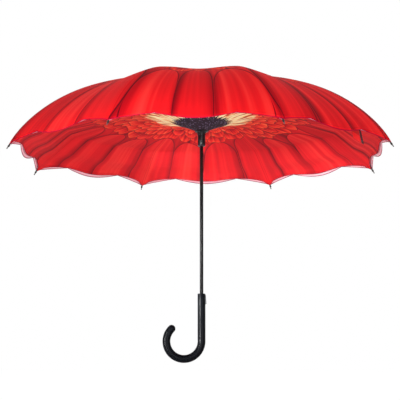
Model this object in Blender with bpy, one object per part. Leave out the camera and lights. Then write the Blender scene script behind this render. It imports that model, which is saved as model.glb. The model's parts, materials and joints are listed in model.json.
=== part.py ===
"""An inverted umbrella, open: two canopies on eight folding ribs, a runner on a steel shaft and a crook
handle. Metres, +Z up. The origin is the middle of the handle's straight grip."""

import math

import bmesh
import bpy
from mathutils import Matrix, Vector

# Canopies, measured up from the plane through the eight fabric tips
RIB_COUNT = 8
TIP_PLANE_HEIGHT = 0.4354
CANOPY_RADIUS = 0.53
CANOPY_RISE = 0.2177
DOME_OVERRUN = 0.0021
DOME_POWER = 2.76
DOME_ROUNDNESS = 0.795
INNER_CLAMP_RISE = 0.0748
INNER_CREST_RISE = 0.0468
INNER_CREST_SHARE = 0.82
INNER_KNEE_FALL = 0.032
INNER_KNEE_SHARE = 0.5
INNER_KNEE_POWER = 1.2
INNER_FALL_POWER = 1.1
HEM_POWER = 0.9
INNER_TIP_INSET = 0.004
INNER_HEM_TRIM = 0.0075
FABRIC_THICKNESS = 0.0005
GORE_SAG = 0.0066
NOTCH_DEPTH = 0.0106
PETAL_DEPTH = 0.0018
ROUND_CENTRE_RADIUS = 0.018
CLEARANCE = 0.0004

# Ribs
ELBOW_RADIUS = 0.2735
ELBOW_DROP = 0.008
TIP_DROP = 0.0042
ROD_RADIUS = 0.0016
ROD_PLANE_OFFSET = 0.0039
STRETCHER_ARCH = 0.011
EYE_RADIUS = 0.0032
EYE_HOLE_RADIUS = 0.0012
EYE_THICKNESS = 0.002
RIVET_RADIUS = 0.0009
RIVET_HEAD_RADIUS = 0.0021
RIVET_HEAD_THICKNESS = 0.0005

# Tip caps
CAP_SOCKET_LENGTH = 0.0052
CAP_RADIUS = 0.0026
CAP_PIN_LENGTH = 0.0062
CAP_PIN_RADIUS = 0.0011
CAP_BEAD_RADIUS = 0.0016

# Hubs
PIVOT_CIRCLE_RADIUS = 0.0155
HUB_RADIUS = 0.018
SLOT_INNER_RADIUS = 0.0114
CROWN_PIVOT_DROP = 0.0085
CROWN_SKIRT = 0.0045
RUNNER_PIVOT_RISE = 0.008
HUB_COLLAR = 0.0045
WIRE_RADIUS = 0.0006

# Shaft and what sits on it
SHAFT_RADIUS = 0.00475
SHAFT_WALL = 0.00075
SHAFT_SEAT = 0.045
CAP_HEIGHT = 0.0135
TOP_CAP_RADIUS = 0.0078
TOP_CAP_FLAT_RADIUS = 0.0042
TOP_CAP_ROOF = 0.003
WASHER_RADIUS = 0.0115
WASHER_THICKNESS = 0.0012
STOP_RADIUS = 0.0075
STOP_LENGTH = 0.006

# Runner
SLEEVE_FOOT_RISE = 0.0306
SLEEVE_RADIUS = 0.0105
SLEEVE_BORE_GAP = 0.00035
FLARE_LENGTH = 0.0126
FLARE_RIM = 0.0022
NECK_RADIUS = 0.0085
FOOT_RING_LENGTH = 0.0032
FOOT_RING_RADIUS = 0.0099

# Handle and button
GRIP_LENGTH = 0.1265
GRIP_RADIUS = 0.0105
CROOK_RADIUS = 0.047
CROOK_ANGLE = math.radians(225)
BUSHING_RADIUS = 0.0076
BUSHING_LENGTH = 0.0025
BUTTON_TOP_DROP = 0.0038
BUTTON_LENGTH = 0.024
BUTTON_WIDTH = 0.009
BUTTON_PROUD = 0.0025
BUTTON_PROUD_TOP = 0.0012
BUTTON_SEAT = 0.003
BUTTON_BEVEL = 0.0007
SPRING_RADIUS = 0.0021
SPRING_WIRE_RADIUS = 0.00025

# Closing strap and its tab, hung from the inner canopy at the last rib
STRAP_TIP_DISTANCE = 0.09
STRAP_LENGTH = 0.06
STRAP_WIDTH = 0.006
STRAP_THICKNESS = 0.0009
STRAP_GAP = 0.0007
STRAP_LEAN_SHARE = 0.2
TAB_LENGTH = 0.062
TAB_WIDTH = 0.022
SNAP_RADIUS = 0.0024
SNAP_THICKNESS = 0.0012
SNAP_PLACE_SHARE = 0.88

# Mesh counts
INNER_RING_STEPS = 4
OUTER_RING_SHARES = (0.25, 0.5, 0.7, 0.86, 1.0)
GORE_SHARES = (0.0, 0.25, 0.375, 0.5, 0.625, 0.75)
NOTCH_SHARE = 0.25
TRIM_SHARE = 0.08
ROD_SIDES = 6
EYE_SIDES = 8
HUB_SIDES = 24
TURNED_SIDES = 16
GRIP_SIDES = 16
CROOK_STEPS = 15
SPRING_TURNS = 2
SPRING_STEPS = 10

# Places that follow from the sizes
GORE_ANGLE = 2 * math.pi / RIB_COUNT
APEX = TIP_PLANE_HEIGHT + CANOPY_RISE
CROWN_TOP = APEX - FABRIC_THICKNESS - CLEARANCE
CROWN_PIVOT_HEIGHT = APEX - CROWN_PIVOT_DROP
CLAMP_HEIGHT = TIP_PLANE_HEIGHT + INNER_CLAMP_RISE
RUNNER_PIVOT_HEIGHT = CLAMP_HEIGHT + RUNNER_PIVOT_RISE
PIVOT_X = math.sqrt(PIVOT_CIRCLE_RADIUS**2 - ROD_PLANE_OFFSET**2)
HANDLE_TOP = GRIP_LENGTH / 2
STRAP_RADIUS = CANOPY_RADIUS - STRAP_TIP_DISTANCE
SLOT_WIDTH = 2 * (ROD_RADIUS + CLEARANCE)
GROOVE_REACH = WIRE_RADIUS + CLEARANCE
SHAFT_BORE = SHAFT_RADIUS + CLEARANCE
CUT_OVERRUN = 2 * EYE_RADIUS

for scene_object in list(bpy.data.objects):
    bpy.data.objects.remove(scene_object, do_unlink=True)


def dome_share(x):
    """Share of the full dome's height left at distance x along a rib."""
    share = min(max(x, 0.0), CANOPY_RADIUS) / (CANOPY_RADIUS + DOME_OVERRUN)
    return (1 - share**DOME_POWER) ** DOME_ROUNDNESS


def outer_rise(x):
    """Height of the outer canopy over the tips at distance x along a rib."""
    edge = dome_share(CANOPY_RADIUS)
    return CANOPY_RISE * (dome_share(x) - edge) / (1 - edge)


def inner_rise(x):
    """Height of the inner canopy: up to its crest, gently down to the knee, then down to the tips."""
    crest_rise = INNER_CLAMP_RISE + INNER_CREST_RISE
    if x <= INNER_CREST_RADIUS:
        share = (INNER_CREST_RADIUS - x) / (INNER_CREST_RADIUS - ROUND_CENTRE_RADIUS)
        return crest_rise - INNER_CREST_RISE * min(share, 1.0) ** 2
    if x <= INNER_KNEE_RADIUS:
        share = (x - INNER_CREST_RADIUS) / (INNER_KNEE_RADIUS - INNER_CREST_RADIUS)
        return crest_rise - INNER_KNEE_FALL * share**INNER_KNEE_POWER
    share = min((x - INNER_KNEE_RADIUS) / (INNER_TIP_RADIUS - INNER_KNEE_RADIUS), 1.0)
    knee_rise = crest_rise - INNER_KNEE_FALL
    return knee_rise - (knee_rise - INNER_TIP_RISE) * share**INNER_FALL_POWER


def rod_rise(x):
    """Height of the outer rib's centre line under the outer canopy."""
    share = (x - ELBOW_RADIUS) / (CANOPY_RADIUS - ELBOW_RADIUS)
    return outer_rise(x) - ELBOW_DROP - (TIP_DROP - ELBOW_DROP) * share


def outer_rings():
    """Distances along a rib of the rings from the elbow to the tips."""
    return [ELBOW_RADIUS + share * (CANOPY_RADIUS - ELBOW_RADIUS) for share in OUTER_RING_SHARES]


ELBOW_HEIGHT = TIP_PLANE_HEIGHT + rod_rise(ELBOW_RADIUS)
LAST_RING = outer_rings()[-2]
LAST_FALL = rod_rise(CANOPY_RADIUS) - rod_rise(LAST_RING)
TIP_SLOPE = Vector((CANOPY_RADIUS - LAST_RING, 0, LAST_FALL)).normalized()
TIP_POINT = Vector((CANOPY_RADIUS, 0, TIP_PLANE_HEIGHT + rod_rise(CANOPY_RADIUS)))
CAP_START = -TIP_DROP * abs(TIP_SLOPE.z) + CLEARANCE
INNER_CREST_RADIUS = ELBOW_RADIUS * INNER_CREST_SHARE
INNER_KNEE_RADIUS = ELBOW_RADIUS + (CANOPY_RADIUS - ELBOW_RADIUS) * INNER_KNEE_SHARE
INNER_TIP_RADIUS = CANOPY_RADIUS - INNER_TIP_INSET
ROD_AT_INNER_TIP = rod_rise(CANOPY_RADIUS) - INNER_TIP_INSET * TIP_SLOPE.z / TIP_SLOPE.x
INNER_TIP_RISE = ROD_AT_INNER_TIP - (ROD_RADIUS + CLEARANCE) / TIP_SLOPE.x


def material(name, colour, roughness, metallic=0.0):
    """A plain Principled material."""
    made = bpy.data.materials.new(name)
    made.use_nodes = True
    shader = made.node_tree.nodes["Principled BSDF"]
    shader.inputs["Base Color"].default_value = (*colour, 1)
    shader.inputs["Roughness"].default_value = roughness
    shader.inputs["Metallic"].default_value = metallic
    return made


BLACK_STEEL = material("black_steel", (0.012, 0.012, 0.014), 0.35, 0.6)
BLACK_PLASTIC = material("black_plastic", (0.016, 0.018, 0.022), 0.4)
GREY_PLASTIC = material("grey_plastic", (0.09, 0.09, 0.095), 0.45)
STEEL = material("steel", (0.5, 0.5, 0.52), 0.35, 1.0)
RED_FABRIC = material("red_fabric", (0.62, 0.02, 0.03), 0.75)
PINK_FABRIC = material("pink_fabric", (0.75, 0.08, 0.09), 0.75)
MAROON_FABRIC = material("maroon_fabric", (0.09, 0.008, 0.012), 0.8)


def finished(bm, name):
    """The mesh of a closed shape, with its faces turned outward."""
    bmesh.ops.recalc_face_normals(bm, faces=bm.faces)
    mesh = bpy.data.meshes.new(name)
    bm.to_mesh(mesh)
    bm.free()
    mesh.shade_smooth()
    mesh.set_sharp_from_angle(angle=math.radians(35))
    return mesh


def placed(name, mesh, finish, matrix=None, parent=None):
    """One named object, at a matrix under its parent."""
    made = bpy.data.objects.new(name, mesh)
    bpy.context.scene.collection.objects.link(made)
    if not mesh.materials:
        mesh.materials.append(finish)
    if parent is not None:
        made.parent = parent
    if matrix is not None:
        made.matrix_local = matrix
    return made


def guide(name, matrix, parent=None):
    """An empty on a joint's axis."""
    made = bpy.data.objects.new(name, None)
    bpy.context.scene.collection.objects.link(made)
    if parent is not None:
        made.parent = parent
    made.matrix_local = matrix
    return made


def skin(bm, rings, closed=False):
    """Faces between rings of points. A ring of one point is a pole."""
    pairs = list(zip(rings, rings[1:]))
    if closed:
        pairs.append((rings[-1], rings[0]))
    for low, high in pairs:
        count = max(len(low), len(high))
        for i in range(count):
            j = (i + 1) % count
            corners = (low[i % len(low)], low[j % len(low)], high[j % len(high)], high[i % len(high)])
            bm.faces.new(list(dict.fromkeys(corners)))


def turned(name, profile, sides, closed=False):
    """A shape turned about Z from (radius, height) points."""
    bm = bmesh.new()
    rings = []
    for radius, height in profile:
        turns = range(sides) if radius > 0 else range(1)
        angles = [2 * math.pi * turn / sides for turn in turns]
        rings.append([bm.verts.new((radius * math.cos(a), radius * math.sin(a), height)) for a in angles])
    skin(bm, rings, closed)
    return finished(bm, name)


def ring(name, bore, radius, low, high, sides):
    """A plain ring about Z."""
    return turned(name, [(bore, low), (radius, low), (radius, high), (bore, high)], sides, closed=True)


def wire_ring(name, radius, wire, height, sides):
    """A round wire bent to a circle about Z."""
    angles = [math.pi * (2 * i + 1) / ROD_SIDES for i in range(ROD_SIDES)]
    profile = [(radius + wire * math.cos(a), height + wire * math.sin(a)) for a in angles]
    return turned(name, profile, sides, closed=True)


def swept(name, path, radii, sides):
    """A round rod along points in the XZ plane. A radius of zero closes an end in a pole."""
    bm = bmesh.new()
    rings = []
    for i, (point, radius) in enumerate(zip(path, radii)):
        along = (path[min(i + 1, len(path) - 1)] - path[max(i - 1, 0)]).normalized()
        across = Vector((along.z, 0, -along.x))
        if radius == 0:
            rings.append([bm.verts.new(point)])
            continue
        angles = [math.pi * (2 * side + 1) / sides for side in range(sides)]
        spokes = [across * math.cos(a) + Vector((0, 1, 0)) * math.sin(a) for a in angles]
        rings.append([bm.verts.new(point + radius * spoke) for spoke in spokes])
    skin(bm, rings)
    for end in (rings[0], rings[-1]):
        if len(end) > 1:
            bm.faces.new(end)
    return finished(bm, name)


def block(name, low, high):
    """A box between two corners."""
    bm = bmesh.new()
    bmesh.ops.create_cube(bm, size=1)
    low, high = Vector(low), Vector(high)
    for vert in bm.verts:
        vert.co = Vector(((low[k] + high[k]) / 2 + vert.co[k] * (high[k] - low[k]) for k in range(3)))
    return finished(bm, name)


def across_rod(name, radius, centre, low, high):
    """A cylinder along Y, between two places on it."""
    mesh = turned(name, [(0, low), (radius, low), (radius, high), (0, high)], EYE_SIDES)
    mesh.transform(Matrix.Translation(centre) @ Matrix.Rotation(-math.pi / 2, 4, "X"))
    return mesh


def combined(body, others, operation):
    """The body's mesh once the other meshes are joined to it or cut from it."""
    base = bpy.data.objects.new("base", body)
    bpy.context.scene.collection.objects.link(base)
    tools = []
    for mesh in others:
        tool = bpy.data.objects.new("tool", mesh)
        bpy.context.scene.collection.objects.link(tool)
        change = base.modifiers.new("change", "BOOLEAN")
        change.operation, change.object, change.solver = operation, tool, "EXACT"
        tools.append(tool)
    graph = bpy.context.evaluated_depsgraph_get()
    mesh = bpy.data.meshes.new_from_object(base.evaluated_get(graph), depsgraph=graph)
    for used in (base, *tools):
        bpy.data.objects.remove(used, do_unlink=True)
    mesh.materials.clear()
    mesh.shade_smooth()
    mesh.set_sharp_from_angle(angle=math.radians(35))
    return mesh


def hem_inset(share, trim):
    """How far the hem stands in from the tips' circle across a gore, with a trim that grows from each tip."""
    edge = min(share, 1 - share)
    trimmed = trim * min(edge / TRIM_SHARE, 1.0)
    if edge <= NOTCH_SHARE:
        return trimmed + NOTCH_DEPTH * (edge / NOTCH_SHARE) ** HEM_POWER
    arch = math.sin(math.pi * (edge - NOTCH_SHARE) / (1 - 2 * NOTCH_SHARE)) ** HEM_POWER
    return trimmed + NOTCH_DEPTH - (NOTCH_DEPTH - PETAL_DEPTH) * arch


def canopy_point(x, share, gore, rise, reach, trim):
    """A point of a canopy's upper face. The gores are flat from rib to rib and round at the centre."""
    edge_start = LAST_RING - (CANOPY_RADIUS - LAST_RING)
    edge = min(max((x - edge_start) / (reach - edge_start), 0.0), 1.0)
    x -= hem_inset(share, trim) * edge
    turn = share * GORE_ANGLE
    flat = math.cos(GORE_ANGLE / 2) / math.cos(turn - GORE_ANGLE / 2)
    blend = min(max(x / ROUND_CENTRE_RADIUS - 1, 0.0), 1.0)
    radius = x * (1 + blend * (flat - 1))
    along = x / reach
    sag = GORE_SAG * math.sin(math.pi * share) ** 2 * 4 * along * (1 - along) * blend
    angle = (gore + 0.5) * GORE_ANGLE + turn
    return Vector((radius * math.cos(angle), radius * math.sin(angle), TIP_PLANE_HEIGHT + rise(x) - sag))


def cloth_cells(bm, near, far):
    """Two triangles for each cell between two rings, split alike on both faces."""
    for i in range(len(near)):
        j = (i + 1) % len(near)
        before_middle = GORE_SHARES[i % len(GORE_SHARES)] < 1 / 2
        start, turn, across, back = (near[i], near[j], far[j], far[i])
        if not before_middle:
            start, turn, across, back = (near[j], near[i], far[i], far[j])
        bm.faces.new((start, turn, across))
        bm.faces.new((start, across, back))


def canopy(name, finish, hole, rise, reach, trim):
    """One canopy as a closed sheet from its centre hole to its hem, split alike on both its faces."""
    step = (ELBOW_RADIUS - ROUND_CENTRE_RADIUS) / INNER_RING_STEPS
    distances = [hole] + [ROUND_CENTRE_RADIUS + step * i for i in range(INNER_RING_STEPS + 1)]
    distances += outer_rings()[:-1] + [reach]
    places = [(gore, share) for gore in range(RIB_COUNT) for share in GORE_SHARES]
    bm = bmesh.new()
    upper, lower = [], []
    for x in distances:
        points = [canopy_point(x, share, gore, rise, reach, trim) for gore, share in places]
        upper.append([bm.verts.new(p) for p in points])
        lower.append([bm.verts.new(p - Vector((0, 0, FABRIC_THICKNESS))) for p in points])
    for sheet in (upper, lower):
        for near, far in zip(sheet, sheet[1:]):
            cloth_cells(bm, near, far)
    for edge in (0, -1):
        skin(bm, [upper[edge], lower[edge]])
    return placed(name, finished(bm, name), finish)


def slots(top, bottom, side):
    """Cutters for the eight rib slots of a hub, to one side of each rib's plane."""
    made = []
    for rib in range(RIB_COUNT):
        centre = side * ROD_PLANE_OFFSET
        corner = (SLOT_INNER_RADIUS, centre - SLOT_WIDTH / 2, bottom)
        mesh = block("slot", corner, (HUB_RADIUS + CUT_OVERRUN, centre + SLOT_WIDTH / 2, top))
        mesh.transform(Matrix.Rotation((rib + 0.5) * GORE_ANGLE, 4, "Z"))
        made.append(mesh)
    return made


def groove(low, high):
    """A cutter for a hub's wire groove."""
    inside, outside = PIVOT_CIRCLE_RADIUS - GROOVE_REACH, PIVOT_CIRCLE_RADIUS + GROOVE_REACH
    return ring("groove", inside, outside, low, high, HUB_SIDES)


def make_shaft():
    """The shaft tube, with the stop above the runner."""
    foot, head = HANDLE_TOP - SHAFT_SEAT, APEX + CAP_HEIGHT - TOP_CAP_ROOF
    tube = ring("shaft_tube", SHAFT_RADIUS - SHAFT_WALL, SHAFT_RADIUS, foot, head, TURNED_SIDES)
    placed("shaft_tube", tube, BLACK_STEEL)
    low = RUNNER_PIVOT_HEIGHT + HUB_COLLAR + CLEARANCE
    stop = ring("upper_stop", SHAFT_BORE, STOP_RADIUS, low, low + STOP_LENGTH, TURNED_SIDES)
    placed("upper_stop", stop, BLACK_PLASTIC)


def make_crown():
    """The slotted crown, its wire, and the washer and cap that hold the outer canopy on it."""
    bottom = CROWN_PIVOT_HEIGHT - CROWN_SKIRT
    slot_top = CROWN_PIVOT_HEIGHT + EYE_RADIUS + CLEARANCE
    body = ring("crown", SHAFT_BORE, HUB_RADIUS, bottom, CROWN_TOP, HUB_SIDES)
    body = combined(body, [groove(bottom - CUT_OVERRUN, CROWN_PIVOT_HEIGHT + GROOVE_REACH)], "DIFFERENCE")
    body = combined(body, slots(slot_top, bottom - CUT_OVERRUN, 1), "DIFFERENCE")
    placed("crown", body, BLACK_PLASTIC)
    wire = wire_ring("crown_wire", PIVOT_CIRCLE_RADIUS, WIRE_RADIUS, CROWN_PIVOT_HEIGHT, HUB_SIDES)
    placed("crown_wire", wire, STEEL)
    low = APEX + CLEARANCE
    high = low + WASHER_THICKNESS
    washer = ring("crown_washer", SHAFT_BORE, WASHER_RADIUS, low, high, TURNED_SIDES)
    placed("crown_washer", washer, BLACK_PLASTIC)
    foot, top = high + CLEARANCE, APEX + CAP_HEIGHT
    shoulder = (TOP_CAP_RADIUS + TOP_CAP_FLAT_RADIUS) / 2
    profile = [
        (SHAFT_BORE, foot),
        (TOP_CAP_RADIUS, foot),
        (TOP_CAP_RADIUS, (foot + top) / 2),
        (shoulder, top - TOP_CAP_ROOF / 2),
        (TOP_CAP_FLAT_RADIUS, top),
        (0, top),
    ]
    inside = [(0, top - TOP_CAP_ROOF + CLEARANCE), (SHAFT_BORE, top - TOP_CAP_ROOF + CLEARANCE)]
    placed("top_cap", turned("top_cap", inside + profile, TURNED_SIDES), BLACK_PLASTIC)


def make_runner():
    """The runner's sleeve and flare, its foot ring, the slotted hub above the inner canopy and its wire."""
    bore = SHAFT_RADIUS + SLEEVE_BORE_GAP
    foot = TIP_PLANE_HEIGHT + SLEEVE_FOOT_RISE
    seat = CLAMP_HEIGHT - FABRIC_THICKNESS - CLEARANCE
    hub_top = RUNNER_PIVOT_HEIGHT + HUB_COLLAR
    profile = [
        (bore, foot + FOOT_RING_LENGTH + CLEARANCE),
        (SLEEVE_RADIUS, foot + FOOT_RING_LENGTH + CLEARANCE),
        (SLEEVE_RADIUS, seat - FLARE_LENGTH),
        (HUB_RADIUS, seat - FLARE_RIM),
        (HUB_RADIUS, seat),
        (NECK_RADIUS, seat),
        (NECK_RADIUS, hub_top),
        (bore, hub_top),
    ]
    runner = placed("runner", turned("runner", profile, HUB_SIDES, closed=True), BLACK_PLASTIC)
    low = foot + CLEARANCE / 2
    foot_ring = ring("runner_ring", bore, FOOT_RING_RADIUS, low, foot + FOOT_RING_LENGTH, TURNED_SIDES)
    placed("runner_ring", foot_ring, GREY_PLASTIC, parent=runner)
    low, bore = CLAMP_HEIGHT + CLEARANCE, NECK_RADIUS + CLEARANCE
    hub = ring("runner_hub", bore, HUB_RADIUS, low, hub_top, HUB_SIDES)
    above = hub_top + CUT_OVERRUN
    hub = combined(hub, [groove(RUNNER_PIVOT_HEIGHT - GROOVE_REACH, above)], "DIFFERENCE")
    hub = combined(hub, slots(above, RUNNER_PIVOT_HEIGHT - EYE_RADIUS - CLEARANCE, -1), "DIFFERENCE")
    placed("runner_hub", hub, BLACK_PLASTIC, parent=runner)
    wire = wire_ring("runner_wire", PIVOT_CIRCLE_RADIUS, WIRE_RADIUS, RUNNER_PIVOT_HEIGHT, HUB_SIDES)
    placed("runner_wire", wire, STEEL, parent=runner)
    return runner


def eyed_rod(name, path, eyes, holes, plane):
    """A rod with round flat eyes, cut for its pins, to one side of the rib's plane."""
    shift = Vector((0, plane, 0))
    rod = swept(name, [p + shift for p in path], [ROD_RADIUS] * len(path), ROD_SIDES)
    half = EYE_THICKNESS / 2
    discs = [across_rod("eye", EYE_RADIUS, p + shift, -half, half) for p in eyes]
    drills = [across_rod("drill", EYE_HOLE_RADIUS, p + shift, -EYE_THICKNESS, EYE_THICKNESS) for p in holes]
    body = combined(rod, discs, "UNION")
    return combined(body, drills, "DIFFERENCE") if drills else body


def shortened(path, start, end):
    """The path with its first and last points moved in along it."""
    made = [p.copy() for p in path]
    made[0] += (path[1] - path[0]).normalized() * start
    made[-1] += (path[-2] - path[-1]).normalized() * end
    return made


def rib_meshes():
    """The meshes of one rib, each about its own joint, with X outward along the rib."""
    crown = Vector((PIVOT_X, 0, CROWN_PIVOT_HEIGHT))
    hub = Vector((PIVOT_X, 0, RUNNER_PIVOT_HEIGHT))
    elbow = Vector((ELBOW_RADIUS, 0, ELBOW_HEIGHT))
    root_gap = (EYE_RADIUS + EYE_HOLE_RADIUS) / 2
    span = elbow - crown
    rise = Vector((-span.z, 0, span.x)).normalized() * STRETCHER_ARCH
    steps = [i / ROD_SIDES for i in range(ROD_SIDES + 1)]
    bow = [span * s + rise * 4 * s * (1 - s) for s in steps]
    ends = [bow[0], bow[-1]]
    stretcher = eyed_rod("stretcher", shortened(bow, root_gap, root_gap), ends, ends[:1], ROD_PLANE_OFFSET)
    strut = [Vector(), (elbow - hub) / 2, elbow - hub]
    ends = [strut[0], strut[-1]]
    inner = eyed_rod("inner_rib", shortened(strut, root_gap, root_gap), ends, ends, -ROD_PLANE_OFFSET)
    curve = [Vector((x, 0, TIP_PLANE_HEIGHT + rod_rise(x))) - elbow for x in [ELBOW_RADIUS] + outer_rings()]
    curve.append(TIP_POINT + TIP_SLOPE * (CAP_START + CAP_SOCKET_LENGTH) - elbow)
    outer = eyed_rod("outer_rib", shortened(curve, root_gap, 0), [curve[0]], [curve[0]], 0)
    return stretcher, inner, outer


def rivet_mesh():
    """The elbow rivet along Y, from the inner rib's eye through the outer rib's eye."""
    half, head = EYE_THICKNESS / 2, RIVET_HEAD_THICKNESS
    outside = ROD_PLANE_OFFSET + half + CLEARANCE
    profile = [
        (0, -outside - head),
        (RIVET_HEAD_RADIUS, -outside - head),
        (RIVET_HEAD_RADIUS, -outside),
        (RIVET_RADIUS, -outside),
        (RIVET_RADIUS, half + CLEARANCE),
        (RIVET_HEAD_RADIUS, half + CLEARANCE),
        (RIVET_HEAD_RADIUS, half + CLEARANCE + head),
        (0, half + CLEARANCE + head),
    ]
    mesh = turned("rivet", profile, EYE_SIDES)
    mesh.transform(Matrix.Rotation(-math.pi / 2, 4, "X"))
    return mesh


def tip_cap_mesh():
    """The tip cap along Z: a socket for the rod's end, a pin and a bead."""
    bore = ROD_RADIUS + CLEARANCE
    end = CAP_SOCKET_LENGTH + CAP_PIN_LENGTH
    profile = [
        (0, CAP_SOCKET_LENGTH + CLEARANCE),
        (bore, CAP_SOCKET_LENGTH + CLEARANCE),
        (bore, 0),
        (CAP_RADIUS, 0),
        (CAP_RADIUS, CAP_SOCKET_LENGTH),
        (CAP_PIN_RADIUS, CAP_SOCKET_LENGTH + CAP_RADIUS),
        (CAP_PIN_RADIUS, end - CAP_BEAD_RADIUS),
        (CAP_BEAD_RADIUS, end - CAP_BEAD_RADIUS / 2),
        (CAP_BEAD_RADIUS, end + CAP_BEAD_RADIUS / 2),
        (0, end + CAP_BEAD_RADIUS),
    ]
    return turned("tip_cap", profile, EYE_SIDES)


def make_ribs(runner):
    """Eight ribs: each stretcher on the crown, each inner rib on the runner, then the outer rib."""
    stretcher, inner, outer = rib_meshes()
    rivet, cap = rivet_mesh(), tip_cap_mesh()
    elbow = Vector((ELBOW_RADIUS, 0, ELBOW_HEIGHT))
    hub = Vector((PIVOT_X, 0, RUNNER_PIVOT_HEIGHT))
    cap_place = Matrix.Translation(TIP_POINT + TIP_SLOPE * CAP_START - elbow)
    cap_place @= TIP_SLOPE.to_track_quat("Z", "Y").to_matrix().to_4x4()
    for rib in range(RIB_COUNT):
        turn = Matrix.Rotation((rib + 0.5) * GORE_ANGLE, 4, "Z")
        number = rib + 1
        at_crown = turn @ Matrix.Translation((PIVOT_X, 0, CROWN_PIVOT_HEIGHT))
        placed(f"stretcher_{number}", stretcher, BLACK_STEEL, at_crown)
        lower = placed(f"inner_rib_{number}", inner, BLACK_STEEL, turn @ Matrix.Translation(hub), runner)
        knee = guide(f"elbow_axis_{number}", Matrix.Translation(elbow - hub), lower)
        placed(f"outer_rib_{number}", outer, BLACK_STEEL, parent=knee)
        placed(f"rivet_{number}", rivet, STEEL, parent=knee)
        placed(f"tip_cap_{number}", cap, BLACK_PLASTIC, cap_place, knee)


def crook_path():
    """The grip's centre line and radii: straight, then round the crook to a round free end."""
    path = [Vector((0, 0, HANDLE_TOP)), Vector((0, 0, HANDLE_TOP - GRIP_LENGTH))]
    for i in range(1, CROOK_STEPS + 1):
        angle = CROOK_ANGLE * i / CROOK_STEPS
        offset = Vector((math.cos(angle) - 1, 0, -math.sin(angle))) * CROOK_RADIUS
        path.append(path[1] + offset)
    along = (path[-1] - path[-2]).normalized()
    end = path[-1].copy()
    radii = [GRIP_RADIUS] * len(path)
    for angle in (math.radians(30), math.radians(60), math.pi / 2):
        path.append(end + along * GRIP_RADIUS * math.sin(angle))
        radii.append(GRIP_RADIUS * math.cos(angle) if angle < math.pi / 2 else 0)
    return path, radii


def make_handle():
    """The crook handle with its shaft bore, bushing seat and button pocket, and the bushing."""
    body = swept("handle", *crook_path(), GRIP_SIDES)
    above = HANDLE_TOP + CUT_OVERRUN
    foot = HANDLE_TOP - SHAFT_SEAT - CLEARANCE
    bore = turned("bore", [(0, foot), (SHAFT_BORE, foot), (SHAFT_BORE, above), (0, above)], TURNED_SIDES)
    ledge = HANDLE_TOP - BUSHING_LENGTH - CLEARANCE
    reach = BUSHING_RADIUS + CLEARANCE
    seat = turned("seat", [(0, ledge), (reach, ledge), (reach, above), (0, above)], TURNED_SIDES)
    body = combined(body, [bore], "DIFFERENCE")
    body = combined(body, [seat], "DIFFERENCE")
    top = HANDLE_TOP - BUTTON_TOP_DROP + CLEARANCE
    half = BUTTON_WIDTH / 2 + CLEARANCE
    low_corner = (0, -half, top - BUTTON_LENGTH - 2 * CLEARANCE)
    pocket = block("pocket", low_corner, (GRIP_RADIUS + CUT_OVERRUN, half, top))
    placed("handle", combined(body, [pocket], "DIFFERENCE"), BLACK_PLASTIC)
    low = ledge + CLEARANCE
    bushing = ring("handle_bushing", SHAFT_BORE, BUSHING_RADIUS, low, HANDLE_TOP, TURNED_SIDES)
    placed("handle_bushing", bushing, BLACK_PLASTIC)


def make_button():
    """The release button, thicker at its foot, and the coil behind it."""
    inner, half = GRIP_RADIUS - BUTTON_SEAT, BUTTON_WIDTH / 2
    heights = (0, -BUTTON_LENGTH / 2, -BUTTON_LENGTH)
    middle_proud = (BUTTON_PROUD_TOP + 2 * BUTTON_PROUD) / 3
    faces = (BUTTON_PROUD_TOP, middle_proud, BUTTON_PROUD)
    bm = bmesh.new()
    rings = []
    for height, proud in zip(heights, faces):
        corners = ((inner, -half), (GRIP_RADIUS + proud, -half), (GRIP_RADIUS + proud, half), (inner, half))
        rings.append([bm.verts.new((x, y, height)) for x, y in corners])
    skin(bm, rings)
    bm.faces.new(rings[0])
    bm.faces.new(rings[-1])
    button = placed(
        "release_button",
        finished(bm, "release_button"),
        GREY_PLASTIC,
        Matrix.Translation((0, 0, HANDLE_TOP - BUTTON_TOP_DROP)),
    )
    bevel = button.modifiers.new("rounding", "BEVEL")
    bevel.width, bevel.segments, bevel.limit_method = BUTTON_BEVEL, 2, "ANGLE"
    make_spring(inner - CLEARANCE, HANDLE_TOP - BUTTON_TOP_DROP - BUTTON_LENGTH / 2)


def make_spring(outer_end, height):
    """The button's coil along X, from near the shaft to near the button's back."""
    start = SHAFT_RADIUS + CLEARANCE + SPRING_WIRE_RADIUS
    length = outer_end - SPRING_WIRE_RADIUS - start
    steps = SPRING_TURNS * SPRING_STEPS
    bm = bmesh.new()
    rings = []
    for i in range(steps + 1):
        angle = 2 * math.pi * i / SPRING_STEPS
        centre = Vector((start + length * i / steps, 0, height))
        spoke = Vector((0, math.cos(angle), math.sin(angle)))
        sides = [math.pi * (2 * k + 1) / ROD_SIDES for k in range(ROD_SIDES)]
        centre += spoke * SPRING_RADIUS
        section = [spoke * math.cos(a) + Vector((1, 0, 0)) * math.sin(a) for a in sides]
        rings.append([bm.verts.new(centre + s * SPRING_WIRE_RADIUS) for s in section])
    skin(bm, rings)
    bm.faces.new(rings[0])
    bm.faces.new(rings[-1])
    placed("button_spring", finished(bm, "button_spring"), STEEL)


def hung_height(x):
    """Height of the inner canopy's lower face at a rib, straight from ring to ring."""
    rings = [ELBOW_RADIUS] + outer_rings()[:-1] + [INNER_TIP_RADIUS]
    low, high = next(pair for pair in zip(rings, rings[1:]) if pair[1] >= x)
    share = (x - low) / (high - low)
    rise = inner_rise(low) * (1 - share) + inner_rise(high) * share
    return TIP_PLANE_HEIGHT + rise - FABRIC_THICKNESS


def strap_point(x, drop):
    """A point of the straps' plane, a drop below the inner canopy at distance x along the rib."""
    return Vector((x + drop * STRAP_LEAN_SHARE, 0, hung_height(x) - STRAP_GAP - drop))


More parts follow.
